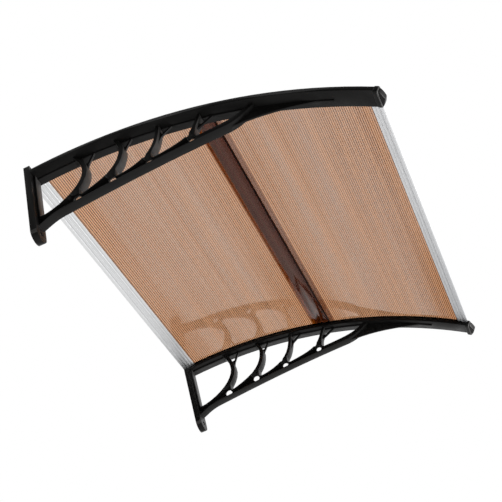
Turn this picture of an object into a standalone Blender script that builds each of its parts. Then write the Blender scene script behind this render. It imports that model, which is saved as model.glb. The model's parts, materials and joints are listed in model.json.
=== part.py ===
"""Door canopy: two moulded brackets carry curved twin-wall sheets between a wall rail and a front rail.

Metres, +Z up. The wall is the plane y = 0 and the canopy reaches out along -Y. X runs along the width.
The origin is the middle of the wall rail's back face.
"""
import math

import bmesh
import bpy
from mathutils import Vector

# Driving dimensions
BRACKET_SPACING = 0.950      # between the middles of the two brackets' struts
GAP = 0.0003                 # air between pieces that touch

# The curve that everything follows, seen from the side
ARC_RADIUS = 1.243           # floor of the rebate that the sheets lie in
ARC_APEX_Y = -0.0945         # highest point of the curve
ARC_CENTRE_Z = -1.2495
SHEET_REACH = 0.8425         # from the wall to the front sheet's front edge
BAR_BEYOND_SHEET = 0.0085
BRACKET_REACH = SHEET_REACH + BAR_BEYOND_SHEET

# Curved bar of a bracket; offsets run outward from the middle of its struts
BAR_INNER = -0.020
BAR_OUTER = 0.028
BAR_DEPTH_OUTER = 0.0065     # rebate floor down to the underside, at the outer edge
BAR_DEPTH_INNER = 0.0105     # the same at the inner edge
LIP_WIDTH = 0.0045           # the raised lip along the outer edge
LIP_HEIGHT = 0.0050
SPINE_DEPTH = 0.0035         # low rib along the middle of the underside
SPINE_WIDTH = 0.0044

# Struts, web and column of a bracket
STRUT_WIDTH = 0.026
WEB_THICKNESS = 0.005
RIM = 0.0038                 # thickness of the rim round each window
CHORD_FLANGE = 0.0020
POCKET_RISE = 0.009          # how far the sunken web reaches up into the struts' feet
COLUMN_DEPTH = 0.0166
COLUMN_TOP = 0.011
COLUMN_BOTTOM = -0.2110      # centre of the round lower end and of its wall hole
COLUMN_HOLE_RADIUS = 0.0057
CORNER_RADIUS = 0.008        # rounding of each window's lower corner next to the wall
BRANCH_THICKNESS = 0.0052
HORN_TAPER = 0.3             # share of its thickness that a strut loses up its horn

# Twin-wall sheets
SHEET_THICKNESS = 0.004
SKIN = 0.0005
FLUTE_PITCH = 0.0057
SHEET_EDGE = 0.0225          # the sheets' side edges, outward from the middle of the struts

# Joint strip between the two sheets
JOINT_REACH = 0.4595         # from the wall to the middle of the strip
JOINT_LOWER_HALF = 0.027
JOINT_UPPER_FRONT = 0.037
JOINT_FLANGE = 0.0015
JOINT_WEB = 0.002

# Wall rail and front rail
RAIL_WALL = 0.0016
WALL_RAIL_LIP = 0.0375       # reach of its lower lip from the wall
WALL_RAIL_UPPER_LIP = 0.0285
WALL_RAIL_BOX = 0.0160       # depth of its hollow part
WALL_RAIL_BOTTOM = -0.0125
WALL_RAIL_TOP = 0.0105
WALL_RAIL_BACK = 0.0034
WALL_SCREW_RADIUS = 0.0028
WALL_SCREWS = 4
WALL_SCREW_HEIGHT = 0.0010
SEAL_LOW = 0.0045
SEAL_HEIGHT = 0.0042
SEAL_DEPTH = 0.0018
FRONT_RAIL_GRIP = 0.014      # how much of the sheet its lower lip covers
FRONT_RAIL_UPPER_GRIP = 0.010
FRONT_RAIL_BOX = 0.014       # reach of its hollow nose beyond the sheet
FRONT_RAIL_SHOULDER = 0.0112 # where the nose starts to slope
RIDGE = 0.0008               # little ridges along both rails
WALL_RAIL_RIDGE_COUNT = 3
FRONT_RAIL_RIDGE_COUNT = 2

# Side strips and their screws
STRIP_INNER = -0.017
STRIP_OUTER = 0.0222
STRIP_THICKNESS = 0.002
SCREWS_PER_SHEET = 3
SCREW_OFFSET = 0.003         # outward from the middle of the struts
SCREW_SHANK = 0.0021
SCREW_HEAD = 0.0050
SCREW_DOME = 0.0036
SCREW_DOME_TOP = 0.0024
SCREW_HEAD_HEIGHT = 0.0026
WASHER_THICKNESS = 0.0010
SCREW_BITE = 0.0045          # depth of the screws in the brackets
SCREW_MARGIN = 0.050         # first and last screw from the ends of a sheet

# End caps
CAP_OVERHANG = 0.0028        # how far a cap's collar stands out round the bar
CAP_COLLAR = 0.0090
CAP_NOSE = 0.0095
CAP_PEG_LENGTH = 0.007
CAP_PEG_WIDTH = 0.014
CAP_PEG_HEIGHT = 0.0035
CAP_PEG_COVER = 0.0015       # bar left under a cap's peg
CAP_BEVEL = 0.0012

# Side view of the struts, (y, z) each
CHORD_ROOT = [(-0.0100, -0.1925), (-0.0330, -0.1840), (-0.0470, -0.1720), (-0.0780, -0.1690)]
CHORD_RUN = [(-0.0780, -0.1690), (-0.2500, -0.1530), (-0.3800, -0.1462), (-0.5120, -0.1463)]
CHORD_NOSE = [(-0.5120, -0.1463), (-0.5900, -0.1465), (-0.6600, -0.1650), (-0.7640, -0.2070)]
FRONT_STRUT = [(-0.5120, -0.1463), (-0.5480, -0.1440), (-0.5620, -0.1310), (-0.5920, -0.1155)]

# Each window: its floor sweeps from the corner next to the wall out and up, and its horn, the front
# side's upper end, reaches the curved bar
WINDOWS = [
    {"floor": [(-0.0223, -0.1648), (-0.0872, -0.1566), (-0.1501, -0.1127), (-0.1450, -0.0640)],
     "horn": [(-0.1450, -0.0640), (-0.1440, -0.0480), (-0.1394, -0.0315), (-0.1225, -0.0100)]},
    {"floor": [(-0.1292, -0.1522), (-0.1985, -0.1332), (-0.2362, -0.1129), (-0.2458, -0.0616)],
     "horn": [(-0.2458, -0.0616), (-0.2475, -0.0520), (-0.2440, -0.0360), (-0.2327, -0.0150)]},
    {"floor": [(-0.2247, -0.1465), (-0.3161, -0.1366), (-0.3358, -0.1021), (-0.3491, -0.0335)],
     "horn": [(-0.3491, -0.0335), (-0.3495, -0.0310), (-0.3497, -0.0290), (-0.3500, -0.0260)]},
    {"floor": [(-0.3206, -0.1408), (-0.4202, -0.1300), (-0.4199, -0.1252), (-0.4517, -0.0700)],
     "horn": [(-0.4517, -0.0700), (-0.4540, -0.0640), (-0.4550, -0.0590), (-0.4560, -0.0500)]},
    {"floor": [(-0.4346, -0.1361), (-0.5200, -0.1340), (-0.5360, -0.1340), (-0.5762, -0.1123)],
     "horn": [(-0.5762, -0.1123), (-0.5800, -0.1100), (-0.5830, -0.1080), (-0.5870, -0.1050)]},
]

# Each strut between two windows: its thickness, its thin forward branch and the hole at its foot
STRUTS = [
    {"thickness": 0.0125, "branch": [(-0.1592, -0.0500), (-0.1835, -0.0110)],
     "hole": (-0.1178, -0.1497), "hole_radius": 0.0104},
    {"thickness": 0.0115, "branch": [(-0.2595, -0.0560), (-0.2850, -0.0220)],
     "hole": (-0.2117, -0.1402), "hole_radius": 0.0098},
    {"thickness": 0.0088, "branch": [(-0.3530, -0.0690), (-0.3940, -0.0440)],
     "hole": (-0.3092, -0.1374), "hole_radius": 0.0084},
    {"thickness": 0.0078, "branch": [(-0.4520, -0.0960), (-0.5030, -0.0720)],
     "hole": (-0.4212, -0.1314), "hole_radius": 0.0078},
]

CURVE_STEPS = 10             # points along each drawn curve
HORN_STEPS = 6               # points along a strut's horn
BAR_STEPS = 24               # stretches along the curved bar
ROUND_SIDES = 12             # sides of screws and of their holes
HOLE_SIDES = 24              # sides of the brackets' round holes
HALF_ROUND_STEPS = 14        # steps round the columns' lower ends and the caps' noses
CUT_MARGIN = 0.004           # how far cutters run past what they cut

HALF_SPACING = BRACKET_SPACING / 2


def on_arc(reach, radius):
    """Point of a circle about the arc's centre, at a given distance from the wall."""
    aside = reach + ARC_APEX_Y
    return -reach, ARC_CENTRE_Z + math.sqrt(radius ** 2 - aside ** 2)


def arc_angle(reach, radius=ARC_RADIUS):
    """Angle at the arc's centre between its apex and a distance from the wall."""
    return math.asin((reach + ARC_APEX_Y) / radius)


def at_angle(angle, radius):
    """Point of a circle about the arc's centre, at an angle from the apex."""
    return ARC_APEX_Y - radius * math.sin(angle), ARC_CENTRE_Z + radius * math.cos(angle)


BAR_START = arc_angle(COLUMN_DEPTH / 2)
BAR_END = arc_angle(BRACKET_REACH)
SHEET_UNDER = ARC_RADIUS + GAP
SHEET_OVER = SHEET_UNDER + SHEET_THICKNESS
REAR_SHEET_START = arc_angle(WALL_RAIL_BOX + RAIL_WALL + GAP, SHEET_OVER)
JOINT_ANGLE = arc_angle(JOINT_REACH)
HALF_JOINT = (JOINT_WEB / 2 + GAP) / ARC_RADIUS
FRONT_SHEET_END = arc_angle(SHEET_REACH)
RAIL_HALF_LENGTH = HALF_SPACING + BAR_INNER - GAP
FRONT_RAIL_HALF = RAIL_HALF_LENGTH - CAP_OVERHANG


def material(name, colour, roughness, metallic=0.0, alpha=1.0):
    """Principled material with a plain colour."""
    made = bpy.data.materials.new(name)
    made.use_nodes = True
    shader = made.node_tree.nodes["Principled BSDF"]
    shader.inputs["Base Color"].default_value = (*colour, 1.0)
    shader.inputs["Roughness"].default_value = roughness
    shader.inputs["Metallic"].default_value = metallic
    shader.inputs["Alpha"].default_value = alpha
    made.diffuse_color = (*colour, alpha)
    return made


def solid(name, vertices, faces, finish=None):
    """Object from vertices and faces, with its faces turned outward."""
    mesh = bpy.data.meshes.new(name)
    work = bmesh.new()
    points = [work.verts.new(vertex) for vertex in vertices]
    for face in faces:
        work.faces.new([points[index] for index in face])
    bmesh.ops.recalc_face_normals(work, faces=work.faces)
    work.to_mesh(mesh)
    work.free()
    body = bpy.data.objects.new(name, mesh)
    bpy.context.collection.objects.link(body)
    if finish:
        mesh.materials.append(finish)
    return body


def loft(name, rings, finish=None):
    """Closed solid through rings of equal length, with flat ends."""
    count = len(rings[0])
    vertices = [vertex for ring in rings for vertex in ring]
    faces = [list(range(count)), [len(vertices) - count + i for i in range(count)]]
    for ring in range(len(rings) - 1):
        for i in range(count):
            after = (i + 1) % count
            low = ring * count
            faces.append([low + i, low + after, low + count + after, low + count + i])
    return solid(name, vertices, faces, finish)


def across(name, outline, low, high, finish=None):
    """Side outline (y, z) pushed along X from low to high."""
    return loft(name, [[(x, y, z) for y, z in outline] for x in (low, high)], finish)


def along_arc(name, profile, start, end, steps, finish=None):
    """Profile (x, radius) swept about the arc's centre from one angle to another."""
    rings = []
    for step in range(steps + 1):
        angle = start + (end - start) * step / steps
        rings.append([(x, *at_angle(angle, radius)) for x, radius in profile])
    return loft(name, rings, finish)


def shape(body, tool, operation="DIFFERENCE"):
    """Cut a tool out of a body, or join it on, and drop the tool."""
    modifier = body.modifiers.new(operation.lower(), "BOOLEAN")
    modifier.operation = operation
    modifier.object = tool
    modifier.solver = "EXACT"
    graph = bpy.context.evaluated_depsgraph_get()
    graph.update()
    result = bpy.data.meshes.new_from_object(body.evaluated_get(graph))
    body.modifiers.clear()
    body.data = result
    bpy.data.objects.remove(tool)


def smooth(body, angle=35.0):
    """Smooth shading that keeps edges sharper than the angle."""
    body.data.shade_smooth()
    body.data.set_sharp_from_angle(angle=math.radians(angle))


def bezier(points, steps=CURVE_STEPS):
    """Points along a cubic curve, both ends included."""
    first, second, third, last = (Vector(point) for point in points)
    found = []
    for step in range(steps + 1):
        t = step / steps
        u = 1 - t
        found.append(u ** 3 * first + 3 * t * u * u * second + 3 * t * t * u * third + t ** 3 * last)
    return found


def corner(before, tip, after, radius, steps=5):
    """Round a corner with a curve that starts and ends one radius from its tip."""
    start = tip + (before - tip).normalized() * radius
    end = tip + (after - tip).normalized() * radius
    rounded = []
    for step in range(steps + 1):
        t = step / steps
        rounded.append((1 - t) ** 2 * start + 2 * t * (1 - t) * tip + t * t * end)
    return rounded


def sideways(path, distances):
    """Path moved to its left, each point by its own distance."""
    moved = []
    for index, point in enumerate(path):
        before = path[max(index - 1, 0)]
        after = path[min(index + 1, len(path) - 1)]
        run = (after - before).normalized()
        moved.append(point + Vector((-run.y, run.x)) * distances[index])
    return moved


def grown(outline, distance):
    """Closed outline pushed outward by a distance."""
    count = len(outline)
    area = sum(outline[i].cross(outline[(i + 1) % count]) for i in range(count))
    side = -distance if area > 0 else distance
    moved = []
    for index, point in enumerate(outline):
        before = (point - outline[index - 1]).normalized()
        after = (outline[(index + 1) % count] - point).normalized()
        run = (before + after).normalized()
        moved.append(point + Vector((-run.y, run.x)) * side)
    return moved


def window_front(index):
    """Lower edge and front edge of a window, from its corner at the wall side up to the curved bar."""
    return bezier(WINDOWS[index]["floor"]) + bezier(WINDOWS[index]["horn"], HORN_STEPS)[1:]


def strut_front(index):
    """Front edge of the strut that stands in front of a window, from its foot up."""
    foot = [STRUTS[index]["thickness"]] * (CURVE_STEPS + 1)
    horn = [foot[0] * (1 - HORN_TAPER * (step + 1) / HORN_STEPS) for step in range(HORN_STEPS)]
    return sideways(window_front(index), foot + horn)


def stem_front(index):
    """A strut's front edge in two parts, below and above the place where its branch leaves."""
    edge = strut_front(index)
    low = STRUTS[index]["branch"][0][1] - BRANCH_THICKNESS
    corner_reach = WINDOWS[index + 1]["floor"][0][0]
    below = [p for p in edge if p.y < low and p.x < corner_reach]
    return below, edge[edge.index(below[-1]):]


def window_outline(index):
    """Closed outline of a window, open into the curved bar above."""
    front = window_front(index)
    tip = Vector(WINDOWS[index]["floor"][0])
    if index == 0:
        back = [Vector((tip.x, 0.0)), Vector((tip.x, tip.y / 2))]
    else:
        branch_foot, branch_top = (Vector(point) for point in STRUTS[index - 1]["branch"])
        run = (branch_top - branch_foot).normalized()
        aside = Vector((run.y, -run.x)) * BRANCH_THICKNESS / 2
        if aside.x > 0:
            aside = -aside
        back = [branch_top + aside, branch_foot + aside] + stem_front(index - 1)[0][::-1]
        back.append(Vector((tip.x, tip.y + CORNER_RADIUS * 1.2)))
    rounded = corner(back[-1], tip, front[2], CORNER_RADIUS)
    back = [p for p in back if (p - tip).length > CORNER_RADIUS]
    rest = [p for p in front if (p - tip).length > CORNER_RADIUS * 1.3]
    return back + rounded + rest


def bracket_body():
    """The moulded bracket, with its offsets along +X and its struts' middle at x = 0."""
    half_strut = STRUT_WIDTH / 2
    half_web = WEB_THICKNESS / 2
    inside = -COLUMN_DEPTH / 2
    root = bezier(CHORD_ROOT, 8)
    run = bezier(CHORD_RUN, 10)[1:]
    bar_middle = ARC_RADIUS - BAR_DEPTH_OUTER / 2

    def under_bar(first, last, radius):
        reaches = [first + (last - first) * step / BAR_STEPS for step in range(BAR_STEPS + 1)]
        return [Vector(on_arc(reach, radius)) for reach in reversed(reaches)]

    front_strut = bezier(FRONT_STRUT, 8)[1:]
    wide = [Vector((inside, root[0].y))] + root + run + front_strut
    wide += under_bar(-inside, -front_strut[-1].x, bar_middle)
    body = across("struts", wide, -half_strut, half_strut)
    nose = bezier(CHORD_NOSE)[1:]
    nose_root = Vector((CHORD_NOSE[0][0] + RIM, CHORD_NOSE[0][1] + RIM / 2))
    thin = [nose_root] + nose + under_bar(-nose_root.x, -nose[-1].x, bar_middle + RIM / 4)
    shape(body, across("web", thin, -half_web, half_web), "UNION")

    windows = [window_outline(index) for index in range(len(WINDOWS))]
    past = half_strut + CUT_MARGIN
    for outline in windows:
        shape(body, across("window", outline, -past, past))
    for index, strut in enumerate(STRUTS):
        fork_pocket(body, index, half_web, half_strut)
        hole = round_rod("foot_hole", strut["hole"], strut["hole_radius"], half_web + CUT_MARGIN)
        shape(body, hole)
    for side in (-1, 1):
        shape(body, web_pocket(side, root, run, windows, half_web, half_strut))
    return body


def circle(centre, radius, sides):
    """Closed outline of a circle in any view."""
    turns = [2 * math.pi * i / sides for i in range(sides)]
    return [(centre[0] + radius * math.cos(t), centre[1] + radius * math.sin(t)) for t in turns]


def round_rod(name, centre, radius, half):
    """Rod along X at a place in the side view."""
    return across(name, circle(centre, radius, HOLE_SIDES), -half, half)


def fork_pocket(body, index, half_web, half_strut):
    """Thin the fork in front of a strut's horn down to its branch, and open the gap in the fork."""
    foot, top = (Vector(point) for point in STRUTS[index]["branch"])
    run = (top - foot).normalized()
    aside = Vector((run.y, -run.x))
    if aside.x > 0:
        aside = -aside
    horn = stem_front(index)[1]
    outer = [foot + aside * BRANCH_THICKNESS, top + aside * BRANCH_THICKNESS + run * CUT_MARGIN]
    above = Vector((horn[-1].x, max(horn[-1].y, outer[-1].y) + CUT_MARGIN))
    outline = horn + [above] + outer[::-1]
    for low, high in ((half_web, half_strut + CUT_MARGIN), (-half_strut - CUT_MARGIN, -half_web)):
        shape(body, across("fork_side", outline, low, high))
    inner = [foot - aside * BRANCH_THICKNESS / 2 + run * BRANCH_THICKNESS]
    inner.append(top - aside * BRANCH_THICKNESS / 2 + run * CUT_MARGIN)
    base = foot.y + BRANCH_THICKNESS
    gap = [p for p in horn if p.y > base]
    shape(body, across("fork_gap", gap + [above] + inner[::-1], -half_web * 2, half_web * 2))


def web_pocket(side, root, run, windows, half_web, half_strut):
    """Cutter that sinks one face of the web between the windows' rims and the chord's flange."""
    start = -COLUMN_DEPTH - GAP
    last_foot = WINDOWS[-1]["floor"][0]
    bottom = [p + Vector((0.0, CHORD_FLANGE)) for p in root + run if start > p.x > last_foot[0]]
    first_foot = WINDOWS[1]["floor"][0]
    top = [Vector((last_foot[0], last_foot[1] + POCKET_RISE))]
    top.append(Vector((first_foot[0], first_foot[1] + 2 * POCKET_RISE)))
    top.append(Vector((start, first_foot[1])))
    outline = [Vector((start, bottom[0].y))] + bottom + top
    low, high = sorted((side * half_web, side * (half_strut + CUT_MARGIN)))
    cutter = across("pocket", outline, low, high)
    for window in windows:
        shape(cutter, across("rim", grown(window, RIM), low - CUT_MARGIN, high + CUT_MARGIN))
    return cutter


def column_body():
    """The column that stands on the wall, with a round lower end."""
    middle = (BAR_INNER + BAR_OUTER) / 2
    radius = (BAR_OUTER - BAR_INNER) / 2
    outline = [(BAR_OUTER, COLUMN_TOP)]
    for step in range(HALF_ROUND_STEPS + 1):
        turn = math.pi * step / HALF_ROUND_STEPS
        outline.append((middle + radius * math.cos(turn), COLUMN_BOTTOM - radius * math.sin(turn)))
    outline.append((BAR_INNER, COLUMN_TOP))
    rings = [[(x, y, z) for x, z in outline] for y in (0.0, -COLUMN_DEPTH)]
    return loft("column", rings)


def turned(name, offset, angle, levels, finish=None):
    """Round solid square to the arc, through levels of (distance from the arc's centre, own radius)."""
    along = Vector((0.0, -math.cos(angle), -math.sin(angle)))
    rings = []
    for level, radius in levels:
        centre = Vector((offset, *at_angle(angle, level)))
        ring = circle((0.0, 0.0), radius, ROUND_SIDES)
        rings.append([centre + Vector((x, 0, 0)) + along * y for x, y in ring])
    return loft(name, rings, finish)


def cap_frame(offset, forward, level):
    """Point by offset, distance forward of the bar's end and radius, square to the bar's end."""
    y, z = at_angle(BAR_END, level)
    return offset, y - forward * math.cos(BAR_END), z - forward * math.sin(BAR_END)


def end_block(name, offsets, forwards, levels, finish=None):
    """Box in the frame of the bar's end."""
    ends = [(offsets[0], forwards[0]), (offsets[1], forwards[0]), (offsets[1], forwards[1]),
            (offsets[0], forwards[1])]
    return loft(name, [[cap_frame(*end, level) for end in ends] for level in levels], finish)


def screw_angles():
    """Angles of the side strips' screws, evenly spaced on each sheet."""
    margin = SCREW_MARGIN / ARC_RADIUS
    spans = ((REAR_SHEET_START + margin, JOINT_ANGLE - margin),
             (JOINT_ANGLE + margin, FRONT_SHEET_END - margin))
    return [low + (high - low) * i / (SCREWS_PER_SHEET - 1) for low, high in spans
            for i in range(SCREWS_PER_SHEET)]


def place(body, name, side):
    """Move a piece drawn with outward offsets along +X to its side, mirrored for the left one."""
    for vertex in body.data.vertices:
        vertex.co.x = side * (HALF_SPACING + vertex.co.x)
    if side < 0:
        body.data.flip_normals()
    body.name = name
    body.data.name = name


def bracket(name, side, finish):
    """One moulded bracket: struts, web, curved bar and wall column in one piece."""
    body = bracket_body()
    rebate_edge = BAR_OUTER - LIP_WIDTH
    bar = [(BAR_INNER, ARC_RADIUS), (rebate_edge, ARC_RADIUS), (rebate_edge, ARC_RADIUS + LIP_HEIGHT),
           (BAR_OUTER, ARC_RADIUS + LIP_HEIGHT), (BAR_OUTER, ARC_RADIUS - BAR_DEPTH_OUTER),
           (BAR_INNER, ARC_RADIUS - BAR_DEPTH_INNER)]
    shape(body, along_arc("bar", bar, BAR_START, BAR_END, BAR_STEPS), "UNION")
    half_spine = SPINE_WIDTH / 2
    spine_low = ARC_RADIUS - (BAR_DEPTH_OUTER + BAR_DEPTH_INNER) / 2 - SPINE_DEPTH
    spine_top = ARC_RADIUS - BAR_DEPTH_OUTER / 2
    spine = [(-half_spine, spine_low), (half_spine, spine_low), (half_spine, spine_top),
             (-half_spine, spine_top)]
    spine_end = arc_angle(-CHORD_NOSE[-1][0])
    shape(body, along_arc("spine", spine, BAR_START, spine_end, BAR_STEPS), "UNION")
    shape(body, column_body(), "UNION")
    middle = (BAR_INNER + BAR_OUTER) / 2
    ring = circle((middle, COLUMN_BOTTOM), COLUMN_HOLE_RADIUS, HOLE_SIDES)
    depths = (CUT_MARGIN, -COLUMN_DEPTH - CUT_MARGIN)
    shape(body, loft("wall_hole", [[(x, y, z) for x, z in ring] for y in depths]))
    for angle in screw_angles():
        bore = SCREW_SHANK + GAP
        levels = [(ARC_RADIUS - SCREW_BITE - GAP, bore), (ARC_RADIUS + CUT_MARGIN, bore)]
        shape(body, turned("pilot", SCREW_OFFSET, angle, levels))
    socket_half = CAP_PEG_WIDTH / 2 + GAP
    offsets = (SCREW_OFFSET - socket_half, SCREW_OFFSET + socket_half)
    levels = (peg_level() - GAP, peg_level() + CAP_PEG_HEIGHT + GAP)
    shape(body, end_block("socket", offsets, (-CAP_PEG_LENGTH - GAP, CUT_MARGIN), levels))
    body.data.materials.clear()
    body.data.materials.append(finish)
    place(body, name, side)
    smooth(body)
    return body


def peg_level():
    """Lower face of a cap's peg, in the thick of the bar."""
    return ARC_RADIUS - BAR_DEPTH_OUTER + CAP_PEG_COVER


def end_cap(name, side, finish):
    """Cap on the front end of a bracket: a collar with a lens-shaped nose and a peg."""
    low = ARC_RADIUS - BAR_DEPTH_INNER - CAP_OVERHANG
    high = ARC_RADIUS + LIP_HEIGHT + CAP_OVERHANG
    offsets = (BAR_INNER - CAP_OVERHANG, BAR_OUTER + CAP_OVERHANG)
    body = end_block("collar", offsets, (GAP, GAP + CAP_COLLAR), (low, high), finish)
    bevel = body.modifiers.new("edges", "BEVEL")
    bevel.width = CAP_BEVEL
    bevel.segments = 2
    graph = bpy.context.evaluated_depsgraph_get()
    graph.update()
    body.data = bpy.data.meshes.new_from_object(body.evaluated_get(graph))
    body.modifiers.clear()
    middle = sum(offsets) / 2
    half = (offsets[1] - offsets[0]) / 2 - CAP_OVERHANG
    outline = []
    for step in range(HALF_ROUND_STEPS + 1):
        turn = math.pi * step / HALF_ROUND_STEPS
        outline.append((middle + half * math.cos(turn), GAP + CAP_COLLAR + CAP_NOSE * math.sin(turn)))
    outline.append((middle - half, CAP_COLLAR / 2))
    outline.append((middle + half, CAP_COLLAR / 2))
    levels = (low + CAP_OVERHANG, high - CAP_OVERHANG)
    nose = loft("nose", [[cap_frame(x, t, level) for x, t in outline] for level in levels], finish)
    shape(body, nose, "UNION")
    offsets = (SCREW_OFFSET - CAP_PEG_WIDTH / 2, SCREW_OFFSET + CAP_PEG_WIDTH / 2)
    levels = (peg_level(), peg_level() + CAP_PEG_HEIGHT)
    shape(body, end_block("peg", offsets, (-CAP_PEG_LENGTH, CAP_COLLAR / 2), levels, finish), "UNION")
    place(body, name, side)
    smooth(body)
    return body


def sheet(name, start, end, finish):
    """Curved twin-wall sheet: two skins and a rib every flute, open at both sides."""
    length = (end - start) * (SHEET_UNDER + SHEET_THICKNESS / 2)
    flutes = max(2, round(length / FLUTE_PITCH))
    half_width = HALF_SPACING + SHEET_EDGE
    step = (end - start) / flutes
    half_rib = SKIN / 2 / SHEET_UNDER
    vertices = []
    for x in (-half_width, half_width):
        for i in range(flutes + 1):
            angle = start + step * i
            vertices.append((x, *at_angle(angle, SHEET_UNDER)))
            vertices.append((x, *at_angle(angle, SHEET_OVER)))
        for i in range(flutes):
            low = start + step * i + half_rib
            high = start + step * (i + 1) - half_rib
            for angle, radius in ((low, SHEET_UNDER + SKIN), (high, SHEET_UNDER + SKIN),
                                  (high, SHEET_OVER - SKIN), (low, SHEET_OVER - SKIN)):
                vertices.append((x, *at_angle(angle, radius)))
    side = len(vertices) // 2
    faces = []
    for i in range(flutes):
        under, over, under_next, over_next = (2 * i + k for k in range(4))
        hole = 2 * (flutes + 1) + 4 * i
        rim = (under, under_next, over_next, over)
        for k in range(4):
            after = (k + 1) % 4
            for base in (0, side):
                inner = base + hole
                faces.append([base + rim[k], base + rim[after], inner + after, inner + k])
            faces.append([hole + k, hole + after, side + hole + after, side + hole + k])
        faces.append([under, under_next, side + under_next, side + under])
        faces.append([over, over_next, side + over_next, side + over])
    for end_edge in (0, 2 * flutes):
        faces.append([end_edge, end_edge + 1, side + end_edge + 1, side + end_edge])
    body = solid(name, vertices, faces, finish)
    for angle in screw_angles():
        if start < angle < end:
            for side_sign in (-1, 1):
                x = side_sign * (HALF_SPACING + SCREW_OFFSET)
                bore = SCREW_SHANK + GAP
                levels = [(SHEET_UNDER - CUT_MARGIN, bore), (SHEET_OVER + CUT_MARGIN, bore)]
                shape(body, turned("screw_hole", x, angle, levels))
    return body


def joint_strip(name, finish):
    """Profile that joins the two sheets, with a wider flange above."""
    low = -JOINT_LOWER_HALF / ARC_RADIUS
    front_low = JOINT_LOWER_HALF / ARC_RADIUS
    front_high = JOINT_UPPER_FRONT / ARC_RADIUS
    web = JOINT_WEB / 2 / ARC_RADIUS
    bottom = ARC_RADIUS - JOINT_FLANGE
    top = SHEET_OVER + GAP
    steps = 4

    def run(first, last, radius):
        turns = [first + (last - first) * i / steps for i in range(steps + 1)]
        return [at_angle(JOINT_ANGLE + turn, radius) for turn in turns]

    outline = run(low, front_low, bottom) + run(front_low, web, ARC_RADIUS) + run(web, front_high, top)
    outline += run(front_high, low, top + JOINT_FLANGE) + run(low, -web, top) + run(-web, low, ARC_RADIUS)
    return across(name, outline, -RAIL_HALF_LENGTH, RAIL_HALF_LENGTH, finish)


def ridged(first, last, count):
    """Points from first to last with little square ridges standing out to the left of the path."""
    first, last = Vector(first), Vector(last)
    run = (last - first).normalized()
    out = Vector((-run.y, run.x)) * RIDGE
    points = [first]
    for i in range(count):
        middle = first + (last - first) * (i + 1) / (count + 1)
        start, end = middle - run * RIDGE, middle + run * RIDGE
        points += [start, start + out, end + out, end]
    return points + [last]


def wall_rail(name, finish):
    """Extruded rail on the wall: a hollow back, and two lips that take the rear sheet's edge."""
    slot_low = SHEET_UNDER - GAP
    slot_high = SHEET_OVER + GAP
    stop = WALL_RAIL_BOX + RAIL_WALL
    reaches = [stop, (stop + WALL_RAIL_LIP) / 2, WALL_RAIL_LIP]
    lower_front = on_arc(WALL_RAIL_LIP, slot_low - RAIL_WALL)
    shelf = on_arc(stop, slot_high + RAIL_WALL)
    outline = ridged(lower_front, (0.0, WALL_RAIL_BOTTOM), WALL_RAIL_RIDGE_COUNT)[::-1]
    outline += [Vector(on_arc(reach, slot_low)) for reach in reversed(reaches)]
    outline += [Vector(on_arc(stop, slot_high)), Vector(on_arc(WALL_RAIL_UPPER_LIP, slot_high))]
    outline += [Vector(on_arc(WALL_RAIL_UPPER_LIP, slot_high + RAIL_WALL)), Vector(shelf)]
    outline += [Vector((-WALL_RAIL_BACK, shelf[1])), Vector((-WALL_RAIL_BACK, WALL_RAIL_TOP))]
    outline += [Vector((0.0, WALL_RAIL_TOP))]
    groove_top = SEAL_LOW + SEAL_HEIGHT + GAP
    groove_low = SEAL_LOW - GAP
    groove = -SEAL_DEPTH - GAP
    outline += [Vector((0.0, groove_top)), Vector((groove, groove_top)), Vector((groove, groove_low))]
    outline += [Vector((0.0, groove_low))]
    body = across(name, outline, -RAIL_HALF_LENGTH, RAIL_HALF_LENGTH, finish)
    hollow_top = shelf[1] - RAIL_WALL
    hollow = [(-WALL_RAIL_BACK, hollow_top), (-WALL_RAIL_BOX, hollow_top),
              (-WALL_RAIL_BOX, WALL_RAIL_BOTTOM + 2 * RAIL_WALL),
              (-WALL_RAIL_BACK, WALL_RAIL_BOTTOM + 2 * RAIL_WALL)]
    shape(body, across("hollow", hollow, -RAIL_HALF_LENGTH - CUT_MARGIN, RAIL_HALF_LENGTH + CUT_MARGIN))
    for i in range(WALL_SCREWS):
        x = RAIL_HALF_LENGTH * ((2 * i + 1) / WALL_SCREWS - 1)
        ring = circle((x, WALL_SCREW_HEIGHT), WALL_SCREW_RADIUS, ROUND_SIDES)
        depths = (CUT_MARGIN, -WALL_RAIL_BACK - CUT_MARGIN)
        shape(body, loft("wall_screw_hole", [[(x, y, z) for x, z in ring] for y in depths]))
    return body


def wall_seal(name, finish):
    """Rubber strip in the groove of the wall rail's back."""
    low, high = SEAL_LOW, SEAL_LOW + SEAL_HEIGHT
    outline = [(-GAP, low), (-GAP, high), (-SEAL_DEPTH, high), (-SEAL_DEPTH, low)]
    return across(name, outline, -RAIL_HALF_LENGTH, RAIL_HALF_LENGTH, finish)


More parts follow.
